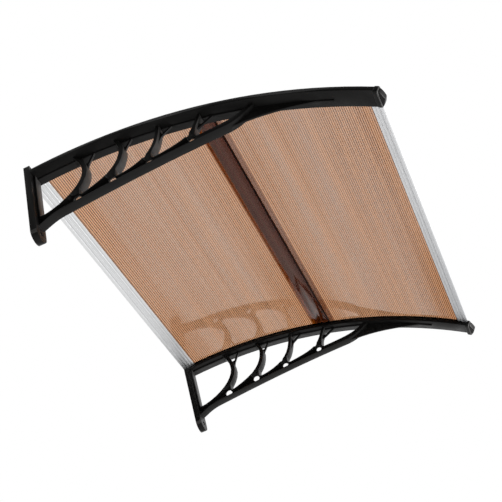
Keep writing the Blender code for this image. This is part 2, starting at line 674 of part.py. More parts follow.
def front_rail(name, finish):
    """Extruded rail over the front sheet's edge: two lips, a stop and a hollow nose."""
    stop = GAP / ARC_RADIUS
    wall = RAIL_WALL / ARC_RADIUS
    grip = FRONT_RAIL_GRIP / ARC_RADIUS
    upper_grip = FRONT_RAIL_UPPER_GRIP / ARC_RADIUS
    box = FRONT_RAIL_BOX / ARC_RADIUS
    shoulder = FRONT_RAIL_SHOULDER / ARC_RADIUS
    slot_low = SHEET_UNDER - GAP
    slot_high = SHEET_OVER + GAP
    low = slot_low - RAIL_WALL
    high = slot_high + RAIL_WALL

    def at(angle, radius):
        return Vector(at_angle(FRONT_SHEET_END + angle, radius))

    outline = [at(-grip, slot_low), at(stop, slot_low), at(stop, slot_high), at(-upper_grip, slot_high)]
    outline += [at(-upper_grip, high), at(shoulder, high), at(box, high - 2 * RAIL_WALL)]
    outline += [at(box, low + 2 * RAIL_WALL)]
    outline += ridged(at(shoulder, low), at(-grip, low), FRONT_RAIL_RIDGE_COUNT)
    body = across(name, outline, -FRONT_RAIL_HALF, FRONT_RAIL_HALF, finish)
    hollow = [at(stop + wall, slot_low), at(stop + wall, slot_high), at(shoulder - wall, slot_high),
              at(box - wall, high - 2 * RAIL_WALL), at(box - wall, low + 2 * RAIL_WALL),
              at(shoulder - wall, slot_low)]
    shape(body, across("hollow", hollow, -FRONT_RAIL_HALF - CUT_MARGIN, FRONT_RAIL_HALF + CUT_MARGIN))
    return body


def side_strip(name, side, finish):
    """Strip that holds the sheets down along a bracket."""
    low = SHEET_OVER + GAP
    high = low + STRIP_THICKNESS
    profile = [(STRIP_INNER, low), (STRIP_OUTER, low), (STRIP_OUTER, high), (STRIP_INNER, high)]
    start = arc_angle(COLUMN_DEPTH + GAP, high)
    body = along_arc(name, profile, start, BAR_END - GAP / ARC_RADIUS, BAR_STEPS, finish)
    for angle in screw_angles():
        levels = [(low - CUT_MARGIN, SCREW_SHANK + GAP), (high + CUT_MARGIN, SCREW_SHANK + GAP)]
        shape(body, turned("strip_hole", SCREW_OFFSET, angle, levels))
    place(body, name, side)
    return body


def strip_screw(name, side, angle, finish):
    """Washer-head screw through a side strip and a sheet into the bracket."""
    seat = SHEET_OVER + STRIP_THICKNESS + 2 * GAP
    washer = seat + WASHER_THICKNESS
    levels = [(ARC_RADIUS - SCREW_BITE, SCREW_SHANK), (seat, SCREW_SHANK), (seat, SCREW_HEAD),
              (washer, SCREW_HEAD), (washer, SCREW_DOME), (seat + SCREW_HEAD_HEIGHT, SCREW_DOME_TOP)]
    body = turned(name, SCREW_OFFSET, angle, levels, finish)
    place(body, name, side)
    smooth(body)
    return body


def main():
    for old in list(bpy.data.objects):
        bpy.data.objects.remove(old)
    black = material("black_plastic", (0.012, 0.012, 0.013), 0.42)
    brown = material("brown_sheet", (0.55, 0.25, 0.12), 0.25, alpha=0.55)
    dark_brown = material("brown_profile", (0.16, 0.05, 0.03), 0.2, alpha=0.8)
    aluminium = material("aluminium", (0.80, 0.81, 0.83), 0.3, metallic=1.0)
    rubber = material("rubber", (0.02, 0.02, 0.02), 0.8)
    steel = material("screw_steel", (0.55, 0.56, 0.58), 0.35, metallic=1.0)

    for side, word in ((-1, "left"), (1, "right")):
        bracket("bracket_" + word, side, black)
        end_cap("end_cap_" + word, side, black)
        side_strip("side_strip_" + word, side, black)
        for number, angle in enumerate(screw_angles(), 1):
            strip_screw(f"strip_screw_{word}_{number}", side, angle, steel)
    sheet("sheet_rear", REAR_SHEET_START, JOINT_ANGLE - HALF_JOINT, brown)
    sheet("sheet_front", JOINT_ANGLE + HALF_JOINT, FRONT_SHEET_END, brown)
    joint_strip("joint_strip", dark_brown)
    wall_rail("wall_rail", aluminium)
    wall_seal("wall_seal", rubber)
    front_rail("front_rail", aluminium)


main()
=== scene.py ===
import json
import math

import bmesh
import bpy
import numpy as np
from mathutils import Matrix, Vector


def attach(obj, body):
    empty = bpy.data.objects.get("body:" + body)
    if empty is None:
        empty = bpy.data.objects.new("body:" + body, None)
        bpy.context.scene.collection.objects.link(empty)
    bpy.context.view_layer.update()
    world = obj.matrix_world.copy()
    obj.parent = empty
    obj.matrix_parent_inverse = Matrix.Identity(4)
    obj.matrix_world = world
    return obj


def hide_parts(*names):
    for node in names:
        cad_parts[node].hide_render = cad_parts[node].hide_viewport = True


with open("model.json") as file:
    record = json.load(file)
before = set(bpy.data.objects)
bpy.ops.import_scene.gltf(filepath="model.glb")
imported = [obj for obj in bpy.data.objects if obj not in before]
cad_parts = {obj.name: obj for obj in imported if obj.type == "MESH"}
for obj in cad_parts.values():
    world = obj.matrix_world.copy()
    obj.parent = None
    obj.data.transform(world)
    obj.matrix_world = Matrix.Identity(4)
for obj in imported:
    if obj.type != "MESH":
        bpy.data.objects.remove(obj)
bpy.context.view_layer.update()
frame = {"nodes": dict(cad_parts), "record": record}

nodes = frame["nodes"]
print("canopy: frame loaded,", len(nodes), "nodes")


class Wire:
    # one output of a shader node; maths written on it adds Math nodes to its paint

    def __init__(self, paint, socket):
        self.paint, self.socket = paint, socket

    def __add__(self, other):
        return self.paint.maths("ADD", self, other)

    def __sub__(self, other):
        return self.paint.maths("SUBTRACT", self, other)

    def __rsub__(self, other):
        return self.paint.maths("SUBTRACT", other, self)

    def __mul__(self, other):
        return self.paint.maths("MULTIPLY", self, other)

    def __truediv__(self, other):
        return self.paint.maths("DIVIDE", self, other)

    __radd__ = __add__
    __rmul__ = __mul__


class Paint:
    # a material with one Principled shader; every other node comes from node()

    def __init__(self, name, **fixed):
        self.material = bpy.data.materials.new(name)
        self.material.use_nodes = True
        self.tree = self.material.node_tree
        self.shader = self.tree.nodes["Principled BSDF"]
        for socket, value in fixed.items():
            self.set(socket.replace("_", " "), value)

    def feed(self, socket, value):
        if isinstance(value, Wire):
            self.tree.links.new(value.socket, socket)
        else:
            socket.default_value = value

    def set(self, socket, value):
        self.feed(self.shader.inputs[socket], value)

    def node(self, kind, settings=None, inputs=(), output=0):
        made = self.tree.nodes.new(kind)
        for name, value in (settings or {}).items():
            setattr(made, name, value)
        rows = inputs.items() if isinstance(inputs, dict) else enumerate(inputs)
        for name, value in rows:
            self.feed(made.inputs[name], value)
        return Wire(self, made.outputs[output])

    def maths(self, operation, *values):
        return self.node("ShaderNodeMath", {"operation": operation}, values)

    # object coordinates, stretched by a scale for each axis
    def place(self, scale=(1.0, 1.0, 1.0)):
        where = self.node("ShaderNodeTexCoord", output="Object")
        return self.node("ShaderNodeMapping", {}, {"Vector": where, "Scale": scale})

    # x, y and z of the object coordinates
    def axes(self):
        split = self.node("ShaderNodeSeparateXYZ", {}, {"Vector": self.place()}).socket.node
        return [Wire(self, socket) for socket in split.outputs]

    # distance along the canopy's arc from its top, and height above the floor of the sheets' rebate: the
    # angle about the arc's centre times the radius, and the distance from the centre less the radius
    def onArc(self):
        y, z = self.axes()[1:]
        ahead, above = arc["apexY"] - y, z - arc["centreZ"]
        turn = self.maths("ARCTAN2", ahead, above)
        reach = self.maths("SQRT", ahead * ahead + above * above)
        return turn * arc["radius"], reach - arc["radius"]

    def noise(self, scale, detail=3.0, stretch=(1.0, 1.0, 1.0)):
        return self.node("ShaderNodeTexNoise", {},
                         {"Vector": self.place(stretch), "Scale": scale, "Detail": detail})

    # noise that swings about 0
    def sway(self, scale, detail=3.0, stretch=(1.0, 1.0, 1.0)):
        return self.noise(scale, detail, stretch) - 0.5

    # colour between two colours, by weight
    def blend(self, weight, first, second):
        first, second = [end if isinstance(end, Wire) else (*end, 1.0) for end in (first, second)]
        return self.node("ShaderNodeMix", {"data_type": "RGBA"}, {0: weight, 6: first, 7: second}, output=2)

    # soft step from 0 at low to 1 at high, which may lie below low
    def step(self, value, low, high):
        return self.node("ShaderNodeMapRange", {"interpolation_type": "SMOOTHSTEP"},
                         {"Value": value, "From Min": low, "From Max": high, "To Min": 0.0, "To Max": 1.0})

    # a clear body whose tints are laid over each other by weight. A share of it shows the Principled
    # shader, and its outer faces reflect by the painted reflection, a weight set by place, plus a part that
    # grows with the fourth power of how far a face is turned from the eye
    def glaze(self, tints, share, paintedReflection, outer, finish):
        clear = None
        for tint, weight in tints:
            layer = self.node("ShaderNodeBsdfTransparent", {}, {"Color": (*tint, 1.0)})
            clear = layer if clear is None else self.node("ShaderNodeMixShader", {}, (weight, clear, layer))
        body = self.node("ShaderNodeMixShader", {}, (share, clear, Wire(self, self.shader.outputs[0])))
        gloss = self.node("ShaderNodeBsdfGlossy", {},
                          {"Color": (1.0, 1.0, 1.0, 1.0), "Roughness": finish["skinRoughness"]})
        turned = self.node("ShaderNodeLayerWeight", {}, {"Blend": 0.5}, output="Facing")
        edgeOn = turned * turned * turned * turned * finish["edgeGloss"]
        shown = self.node("ShaderNodeMixShader", {}, ((paintedReflection + edgeOn) * outer, body, gloss))
        self.tree.links.new(shown.socket, self.tree.nodes["Material Output"].inputs["Surface"])

    def bump(self, height, distance):
        self.set("Normal", self.node("ShaderNodeBump", {},
                                     {"Height": height, "Distance": distance, "Strength": 1.0}))


# The arc that carries everything, in metres; barEnd is the angle at which the brackets' bars end, and
# bracketAt is how far the brackets' webs are from the middle
arc = {
    "apexY": -0.0945,
    "centreZ": -1.2495,
    "radius": 1.243,
    "jointAt": 0.3705,
    "barEnd": 0.6543,
    "bracketAt": 0.475,
}

plastic = {
    "colour": (0.0040, 0.0038, 0.0038),
    "cloudy": (0.0075, 0.0070, 0.0066),
    "paintedLightColour": (0.090, 0.088, 0.086),
    "specular": 0.17,
    "cloudScale": 14.0,
    "grainNoise": (1400.0, 2.0),
    "flowNoise": (60.0, 2.0, (1.0, 0.25, 1.0)),
    "paintedLightShare": 0.7,
    "paintedLightSpread": 0.6,
    "roughness": 0.40,
    "flowRoughness": 0.16,
    "grainRoughness": 0.1,
    "flowHeight": 2.0,
    "bump": 0.00003,
}


# Black plastic with faint clouds. Plastic with painted light is greyed where the mesh's own painted light
# is above 0, so those faces look lit
def blackPlastic(paintedShading):
    paint = Paint("blackPlastic" + paintedShading, Specular_IOR_Level=plastic["specular"])
    grain, flow = paint.sway(*plastic["grainNoise"]), paint.sway(*plastic["flowNoise"])
    colour = paint.blend(paint.noise(plastic["cloudScale"]), plastic["colour"], plastic["cloudy"])
    if paintedShading:
        paintedLight = paint.node("ShaderNodeAttribute", {"attribute_name": "paintedLight"}, output="Fac")
        # painted light: a lighter grey on the faces marked as lit
        litWeight = paintedLight * (plastic["paintedLightShare"] + plastic["paintedLightSpread"] * flow)
        colour = paint.blend(litWeight, colour, plastic["paintedLightColour"])
    paint.set("Base Color", colour)
    paint.set("Roughness", plastic["roughness"] + plastic["flowRoughness"] * flow
              + plastic["grainRoughness"] * grain)
    paint.bump(grain + plastic["flowHeight"] * flow, plastic["bump"])
    return paint.material


# Tints are for one surface; light passes four of them, and the ribs' lines count most on the lower skin.
# Heights are above the floor of the rebate. Lines and the painted reflection are sums of a base value,
# values that set in by place (middle of the sheet, far end, outward along the arc) and noises that run
# along the flutes; the reflection that sets in by place is painted reflection
sheetFinish = {
    "colour": (0.30, 0.12, 0.055),
    "tint": (0.918, 0.806, 0.712),
    "lineTint": (0.500, 0.330, 0.190),
    "share": 0.015,
    "ior": 1.58,
    "roughness": 0.2,
    "driftRoughness": 0.08,
    "bump": 0.00006,
    "streakNoise": (150.0, 2.0, (0.004, 1.0, 1.0)),
    "bandNoise": (48.0, 2.0, (0.012, 1.0, 1.0)),
    "broadNoise": (16.0, 2.0, (0.05, 1.0, 1.0)),
    "driftNoise": (5.0, 2.0, (0.5, 1.0, 1.0)),
    "half": 0.002,
    "halfBlur": 0.0003,
    "lowestFace": 0.0006,
    "highestFace": 0.0040,
    "faceBlur": 0.0002,
    "edgeBand": 0.30,
    "farPlaces": (-0.05, 0.50),
    "outwardPlaces": (0.1, 0.3),
    "lineEdges": (-0.65, 0.75),
    "lineUpper": 0.2,
    "lineBase": 0.94,
    "lineMiddle": -0.10,
    "lineFarEdge": 0.35,
    "lineStreak": 1.2,
    "lineBand": 0.9,
    "skin": 0.145,
    "skinRoughness": 0.07,
    "edgeGloss": 0.5,
    "upperGloss": 0.4,
    "reflectionBase": 0.52,
    "reflectionMiddle": 0.56,
    "reflectionBroad": 1.4,
    "reflectionBand": 1.0,
    "reflectionDrift": 0.5,
    "reflectionCutEdge": 0.45,
    "reflectionCutOutward": 0.35,
    "reflectionCutMiddle": 0.20,
    # painted shadow line on the sheet just past a rail's lip
    "lipShadowColour": (0.012, 0.010, 0.009),
    "lipShadowWidth": 0.0024,
    "lipShadowSharp": 0.6,
    "lipShadowShare": 0.6,
}
# Where each sheet starts and ends along the arc, its number of flutes, the rail lip that covers its edge,
# the side of the lip that is open (1 toward the front) and how strong its lines are
sheets = {
    "sheet_rear": {"start": -0.07640, "end": 0.36916, "flutes": 78, "lip": -0.05702, "side": 1.0,
                   "lines": 1.0},
    "sheet_front": {"start": 0.37176, "end": 0.80262, "flutes": 76, "lip": 0.78862, "side": -1.0,
                    "lines": 0.92},
}


def brownSheet(name):
    size, look = sheets[name], sheetFinish
    paint = Paint("brown_" + name, IOR=look["ior"])
    along, above = paint.onArc()
    width = size["end"] - size["start"]
    flute = (along - size["start"]) * (size["flutes"] / width)
    wave = paint.maths("COSINE", flute * (2 * math.pi))
    streak, band = paint.sway(*look["streakNoise"]), paint.sway(*look["bandNoise"])
    broad, drift = paint.sway(*look["broadNoise"]), paint.sway(*look["driftNoise"])
    lower = paint.step(look["half"] - above, -look["halfBlur"], look["halfBlur"])
    lowest = paint.step(look["lowestFace"] - above, 0.0, look["faceBlur"])
    highest = paint.step(above, look["highestFace"], look["highestFace"] + look["faceBlur"])
    inside = (along - size["start"]) / width
    middle = paint.step(inside, 0.0, look["edgeBand"]) * paint.step(1.0 - inside, 0.0, look["edgeBand"])
    farther = paint.step(paint.axes()[0], *look["farPlaces"])
    outward = paint.step(along, *look["outwardPlaces"])
    strength = (look["lineBase"] + look["lineMiddle"] * middle
                + look["lineFarEdge"] * farther * (1.0 - middle)
                + look["lineStreak"] * streak + look["lineBand"] * band)
    line = (paint.step(wave, *look["lineEdges"]) * (look["lineUpper"] + (1.0 - look["lineUpper"]) * lower)
            * size["lines"] * strength)
    # painted shade: a dark line on the lower skin just past the rail's lip, where the gap beside it lies in
    # shade
    past = (along - size["lip"]) * size["side"]
    lipShadow = paint.step(past, look["lipShadowWidth"], look["lipShadowSharp"] * look["lipShadowWidth"]) * lower
    # painted reflection: outer faces reflect more mid-sheet and less toward the far end and the edges
    patches = look["reflectionBroad"] * broad + look["reflectionBand"] * band + look["reflectionDrift"] * drift
    reflectionCut = farther * ((look["reflectionCutEdge"] + look["reflectionCutOutward"] * outward) * (1.0 - middle)
                         + look["reflectionCutMiddle"] * middle)
    paintedReflection = (look["skin"] * (look["reflectionBase"] + look["reflectionMiddle"] * middle - reflectionCut + patches)
            * (1.0 - lipShadow))
    # the painted shadow colour shows past the lip
    paint.set("Base Color", paint.blend(lipShadow, look["colour"], look["lipShadowColour"]))
    paint.set("Roughness", look["roughness"] + look["driftRoughness"] * drift)
    paint.bump(wave, look["bump"])
    paint.glaze(((look["tint"], 1.0), (look["lineTint"], line)),
                (look["share"] + look["lipShadowShare"] * lipShadow) * lowest, paintedReflection,
                lowest + look["upperGloss"] * highest, look)
    return paint.material


# Tints are for one surface of the profile's lower and upper flange. Heights are above the floor of the
# rebate, distances run along the arc from the joint's middle, and losses are how much of the painted
# reflection is taken away
profileFinish = {
    "colour": (0.010, 0.004, 0.003),
    "lowerTint": (0.48, 0.35, 0.23),
    "rearTint": (0.59, 0.38, 0.12),
    "streakTint": (0.62, 0.41, 0.31),
    "upperTint": (0.66, 0.57, 0.54),
    "clearTint": (0.97, 0.95, 0.93),
    "blackTint": (0.12, 0.08, 0.06),
    "share": 0.01,
    "ior": 1.58,
    "roughness": 0.2,
    "driftRoughness": 0.12,
    "bump": 0.00003,
    "streakNoise": (210.0, 1.0, (0.002, 1.0, 1.0)),
    "streakEdges": (0.46, 0.62),
    "driftNoise": (6.0, 2.0, (0.3, 1.0, 1.0)),
    "upperFlange": (0.0015, 0.0030),
    "lowestFace": (-0.0006, -0.0009),
    "highestFace": (0.0053, 0.0056),
    "clearRear": -0.0200,
    "clearBlur": 0.002,
    "darkFront": 0.0210,
    "darkBlur": 0.001,
    "dimFront": (0.006, 0.018),
    "skin": 0.044,
    "skinRoughness": 0.10,
    "edgeGloss": 0.5,
    "upperGloss": 0.5,
    "rearLoss": 0.94,
    "darkLoss": 0.9,
    "dimLoss": 0.4,
}


def brownProfile():
    look = profileFinish
    paint = Paint("brownProfile", IOR=look["ior"])
    along, above = paint.onArc()
    across = along - arc["jointAt"]
    upper = paint.step(above, *look["upperFlange"])
    outer = (paint.step(above, *look["lowestFace"])
             + look["upperGloss"] * paint.step(above, *look["highestFace"]))
    line = paint.step(paint.noise(*look["streakNoise"]), *look["streakEdges"])
    drift = paint.sway(*look["driftNoise"])
    rear = paint.step(across, look["clearRear"] + look["clearBlur"], look["clearRear"])
    dark = paint.step(across, look["darkFront"], look["darkFront"] + look["darkBlur"]) * (1.0 - upper)
    dim = paint.step(across, *look["dimFront"])
    # painted reflection: cut by place at the rear, on the dark front line and toward the front
    paintedReflection = (look["skin"] * (1.0 - look["rearLoss"] * rear) * (1.0 - look["darkLoss"] * dark)
            * (1.0 - look["dimLoss"] * dim))
    paint.set("Base Color", (*look["colour"], 1.0))
    paint.set("Roughness", look["roughness"] + look["driftRoughness"] * drift)
    paint.bump(line, look["bump"])
    tints = ((look["lowerTint"], 1.0), (look["streakTint"], line * (1.0 - rear)), (look["rearTint"], rear),
             (look["upperTint"], upper), (look["clearTint"], upper * rear), (look["blackTint"], dark))
    paint.glaze(tints, look["share"], paintedReflection, outer, look)
    return paint.material


# The colour turns to dullAndShade by the sum of what clouds, drawn lines, painted shade in the grooves and
# the rail's painted shade add; the painted shade grows toward the far end
metal = {
    "colour": (0.93, 0.935, 0.95),
    "dullAndShade": (0.55, 0.555, 0.57),
    "drawnNoise": (900.0, 2.0, (0.006, 1.0, 1.0)),
    "cloudNoise": (20.0, 2.0, (0.2, 1.0, 1.0)),
    "cloudDull": 0.12,
    "drawnDull": 0.05,
    "grooveShade": 0.5,
    "nearShade": 0.30,
    "farShade": 0.85,
    "farPlaces": (-0.3, 0.5),
    "roughness": 0.42,
    "drawnRoughness": 0.06,
    "cloudRoughness": 0.08,
    "grooveWidth": 0.0011,
    "grooveSharp": 0.3,
    "drawnHeight": 0.3,
    "grooveDepth": 3.0,
    "bump": 0.00003,
}
# Where each rail's grooves of painted shade lie along the arc, counted from a place on it, and how much
# painted shade it gets
rails = {
    "wall_rail": {"material": "wallAluminium", "from": arc["apexY"],
                  "grooves": (0.0105, 0.0170, 0.0240, 0.0300), "shade": 0.0},
    "front_rail": {"material": "frontAluminium", "from": 0.0, "grooves": (0.8070,), "shade": 0.75},
}


# Extruded rail, drawn along its length, with fine grooves darkened by painted shade
def aluminium(name):
    rail, look = rails[name], metal
    paint = Paint(rail["material"], Metallic=1.0)
    place = paint.onArc()[0] - rail["from"]
    drawn, cloud = paint.noise(*look["drawnNoise"]), paint.noise(*look["cloudNoise"])
    paintedShading = 0.0
    # painted shade: each groove darkens the colour
    for groove in rail["grooves"]:
        off = paint.maths("ABSOLUTE", place - groove)
        paintedShading = paintedShading + paint.step(off, look["grooveWidth"], look["grooveSharp"] * look["grooveWidth"])
    farther = paint.step(paint.axes()[0], *look["farPlaces"])
    dullAndShade = (look["cloudDull"] * cloud + look["drawnDull"] * drawn + look["grooveShade"] * paintedShading
            + rail["shade"] * (look["nearShade"] + look["farShade"] * farther))
    paint.set("Base Color", paint.blend(dullAndShade, look["colour"], look["dullAndShade"]))
    paint.set("Roughness", look["roughness"] + look["drawnRoughness"] * (drawn - 0.5)
              + look["cloudRoughness"] * (cloud - 0.5))
    paint.bump(look["drawnHeight"] * drawn - look["grooveDepth"] * paintedShading, look["bump"])
    return paint.material


grains = {
    "rubber": {"first": (0.012, 0.012, 0.012), "second": (0.022, 0.021, 0.020), "scale": 600.0,
               "roughness": 0.72, "spread": 0.1, "bump": 0.00008, "fixed": {"Specular_IOR_Level": 0.3}},
    "screwSteel": {"first": (0.58, 0.59, 0.61), "second": (0.46, 0.46, 0.47), "scale": 900.0,
                   "roughness": 0.32, "spread": 0.2, "bump": 0.00002, "fixed": {"Metallic": 1.0}},
}


# A plain material: a grain between two colours that also moves the roughness and the surface
def grainy(name):
    look = grains[name]
    paint = Paint(name, **look["fixed"])
    grain = paint.noise(look["scale"])
    paint.set("Base Color", paint.blend(grain, look["first"], look["second"]))
    paint.set("Roughness", look["roughness"] + look["spread"] * (grain - 0.5))
    paint.bump(grain, look["bump"])
    return paint.material


finishes = {
    "black_plastic": blackPlastic(""),
    "brown_profile": brownProfile(),
    "rubber": grainy("rubber"),
    "screw_steel": grainy("screwSteel"),
}
# black plastic with painted light on the faces that catch the light
paintedLightPlastic = blackPlastic("WithPaintedLight")
ownFinishes = {name: brownSheet(name) for name in sheets}
ownFinishes.update({name: aluminium(name) for name in rails})
print("canopy: materials made")

slots = {row["node"]: row["material_slot"] for row in frame["record"]["subparts"]}


def finishOf(name):
    return ownFinishes.get(name) or finishes[slots[name]]


for name, slot in slots.items():
    node = nodes[name]
    node.data.materials.clear()
    node.data.materials.append(finishOf(name))


# Takes the place of a CAD node
def stand(piece, name, finish=None):
    piece.data.materials.clear()
    piece.data.materials.append(finish or finishOf(name))
    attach(piece, "root")
    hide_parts(name)


# Normals ("normal") or centres ("center") of a mesh's faces, a row for each
def faceRows(mesh, kind):
    rows = np.empty(len(mesh.polygons) * 3)
    mesh.polygons.foreach_get(kind, rows)
    return rows.reshape(-1, 3)


# Gives each face of a mesh the painted light that plastic with painted light reads
def setPaintedLight(mesh, values):
    paintedLight = mesh.attributes.new("paintedLight", "FLOAT", "FACE")
    paintedLight.data.foreach_set("value", np.asarray(values, dtype=np.float32))


meshing = {
    "mergeWithin": 0.000005,
}


# Closed skin through rings of points, an array of (ring, point, xyz). A quad joins points j and j + 1 of
# ring i to the same points of ring i + 1, j counts round, and one face closes each end. Points that fall
# together are merged, normals face outward, and edges sharper than an angle in degrees stay sharp
def skinned(name, rings, sharp):
    count, around = rings.shape[:2]
    index = np.arange(count * around).reshape(count, around)
    after = np.roll(index, -1, axis=1)
    quads = np.stack([index[:-1], after[:-1], after[1:], index[1:]], -1).reshape(-1, 4)
    faces = quads.tolist() + [index[0, ::-1].tolist(), index[-1].tolist()]
    mesh = bpy.data.meshes.new(name)
    mesh.from_pydata(rings.reshape(-1, 3).tolist(), [], faces)
    work = bmesh.new()
    work.from_mesh(mesh)
    bmesh.ops.remove_doubles(work, verts=work.verts, dist=meshing["mergeWithin"])
    bmesh.ops.recalc_face_normals(work, faces=work.faces)
    work.to_mesh(mesh)
    work.free()
    mesh.shade_smooth()
    mesh.set_sharp_from_angle(angle=math.radians(sharp))
    piece = bpy.data.objects.new(name, mesh)
    bpy.context.scene.collection.objects.link(piece)
    return piece


# How far edges are rounded on each solid that keeps its shape, in metres
softEdges = {
    "bracket_left": 0.0007,
    "bracket_right": 0.0007,
    "side_strip_left": 0.0003,
    "side_strip_right": 0.0003,
    "wall_rail": 0.00025,
    "front_rail": 0.00025,
    "joint_strip": 0.00025,
    "wall_seal": 0.0003,
}
softening = {
    "mergeWithin": 0.00002,
    "flatWithin": 0.6,
    "sharpFrom": 28.0,
    "steps": 2,
}
bracketPaintedLight = {
    "columnDepth": 0.017,
    "columnLit": 1.0,
    "outerFrom": 0.9,
    "frontFrom": 0.45,
    "frontLit": 0.55,
    "feetFrom": -0.05,
    "feetHeight": 0.09,
    "feetLit": 0.75,
    "tipFrom": -0.60,
}


# Painted light of each face of a bracket, lightening faces as if lit. On the column the outer side has
# columnLit. On the rest, faces turned to the front get painted light: from 0 where the normal's forward
# part is frontFrom to 1 where it is 1, times frontLit plus feetLit times how far down the feet's height the
# face lies; past tipFrom no face gets it
def paintedLightOf(mesh):
    normals, centres = faceRows(mesh, "normal"), faceRows(mesh, "center")
    y, z = centres[:, 1], centres[:, 2]
    column = y > -bracketPaintedLight["columnDepth"]
    outer = (np.abs(normals[:, 0]) > bracketPaintedLight["outerFrom"]) & column
    turned = (-normals[:, 1] - bracketPaintedLight["frontFrom"]) / (1.0 - bracketPaintedLight["frontFrom"])
    low = np.clip((bracketPaintedLight["feetFrom"] - z) / bracketPaintedLight["feetHeight"], 0.0, 1.0)
    front = np.clip(turned, 0.0, 1.0) * (bracketPaintedLight["frontLit"] + bracketPaintedLight["feetLit"] * low)
    return np.where(column, outer * bracketPaintedLight["columnLit"], front * (y > bracketPaintedLight["tipFrom"]))


# The brackets' foot holes as (y, z, radius); past the web they open upward and back, as moulding draft
footHoles = {
    "places": ((-0.1178, -0.1497, 0.0104), (-0.2117, -0.1402, 0.0098),
               (-0.3092, -0.1374, 0.0084), (-0.4212, -0.1314, 0.0078)),
    "web": 0.0016,
    "past": 0.0170,
    "rise": 0.926,
    "back": 0.173,
    "around": 28,
    "sharp": 30.0,
}


# Opens the foot holes of a bracket. A cutter has four rings square to X, two at the web and two past it;
# their centres move up and back by rise and back times the distance from the web
def openHoles(piece, side):
    turn = np.linspace(0.0, 2 * math.pi, footHoles["around"], endpoint=False)
    offsets = np.array([-footHoles["past"], -footHoles["web"], footHoles["web"], footHoles["past"]])
    leaned = np.maximum(np.abs(offsets) - footHoles["web"], 0.0)[:, None]
    for y, z, radius in footHoles["places"]:
        rings = np.stack([side * arc["bracketAt"] + offsets[:, None] + np.zeros(turn.size),
                          y + leaned * footHoles["back"] + radius * np.cos(turn),
                          z + leaned * footHoles["rise"] + radius * np.sin(turn)], -1)
        cutter = skinned("holeCutter", rings, footHoles["sharp"])
        cut = piece.modifiers.new("openHole", "BOOLEAN")
        cut.object, cut.solver, cut.operation = cutter, "EXACT", "DIFFERENCE"
        opened = bpy.data.meshes.new_from_object(piece.evaluated_get(bpy.context.evaluated_depsgraph_get()))
        piece.modifiers.clear()
        piece.data = opened
        bpy.data.objects.remove(cutter)


# A copy of a solid with loose triangles merged, flat areas made one face, and rounded edges; a bracket's
# foot holes are opened and its faces get their painted light
def softened(name):
    mesh = nodes[name].data.copy()
    work = bmesh.new()
    work.from_mesh(mesh)
    bmesh.ops.remove_doubles(work, verts=work.verts, dist=softening["mergeWithin"])
    bmesh.ops.dissolve_limit(work, angle_limit=math.radians(softening["flatWithin"]),
                             verts=work.verts, edges=work.edges)
    work.to_mesh(mesh)
    work.free()
    piece = bpy.data.objects.new(name + "_soft", mesh)
    bpy.context.scene.collection.objects.link(piece)
    isBracket = name.startswith("bracket")
    if isBracket:
        openHoles(piece, 1 if name.endswith("right") else -1)
        # painted light on the bracket's faces that face the front light
        setPaintedLight(piece.data, paintedLightOf(piece.data))
    piece.data.shade_smooth()
    bevel = piece.modifiers.new("roundEdges", "BEVEL")
    bevel.width = softEdges[name]
    bevel.segments = softening["steps"]
    bevel.limit_method = "ANGLE"
    bevel.angle_limit = math.radians(softening["sharpFrom"])
    bevel.harden_normals = True
    bevel.use_clamp_overlap = True
    stand(piece, name, paintedLightPlastic if isBracket else None)


for name in softEdges:
    softened(name)
print("canopy: edges rounded")


# Collar rings of an end cap are (distance ahead of the bar's end, half width, half height); a nose follows
capShape = {
    "outward": 0.004,
    "level": -0.00275,
    "collar": ((-0.0030, 0.0250, 0.0088), (-0.0027, 0.0260, 0.0098), (-0.0020, 0.0266, 0.0104),
               (-0.0004, 0.0268, 0.01055), (0.0066, 0.0268, 0.01055), (0.0078, 0.0265, 0.0103),
               (0.0088, 0.0258, 0.0096), (0.0095, 0.0247, 0.0086), (0.0095, 0.0242, 0.0081)),
    # litRing: where along the cap faces get a painted highlight line at the collar's front
    "litRing": (0.0072, 0.0096),
    "noseStart": 0.0091,
    "noseReach": 0.0108,
    "noseHalf": 0.0238,
    "noseHeight": 0.0076,
    "noseEnd": 0.98,
    "pointed": 1.7,
    "thinned": 0.3,
    "noseSteps": 14,
    "squareness": 6.0,
    "around": 72,
    "sharp": 40.0,
}


